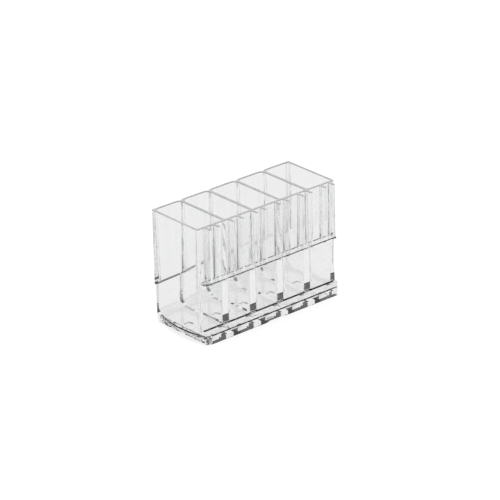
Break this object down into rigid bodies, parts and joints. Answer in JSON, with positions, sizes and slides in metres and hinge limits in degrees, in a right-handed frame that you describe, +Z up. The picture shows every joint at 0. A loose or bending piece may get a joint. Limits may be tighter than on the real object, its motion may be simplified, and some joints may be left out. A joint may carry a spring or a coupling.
{
  "type": "cuvette block",
  "caption": "Clear one-piece row of open rectangular cuvette cells with a finned front, a ledge and a flat foot.",
  "frame": {"origin": "middle of the underside of the whole block", "axes": "+X along the row of cells, -Y out of the finned front, +Z up to the open rims"},
  "size_m": [0.0468, 0.0206, 0.03],
  "materials": {
    "clear_plastic": "clear, polished, water-white"
  },
  "bodies": {
    "root": {"cuvette_block": "clear_plastic"}
  },
  "joints": []
}
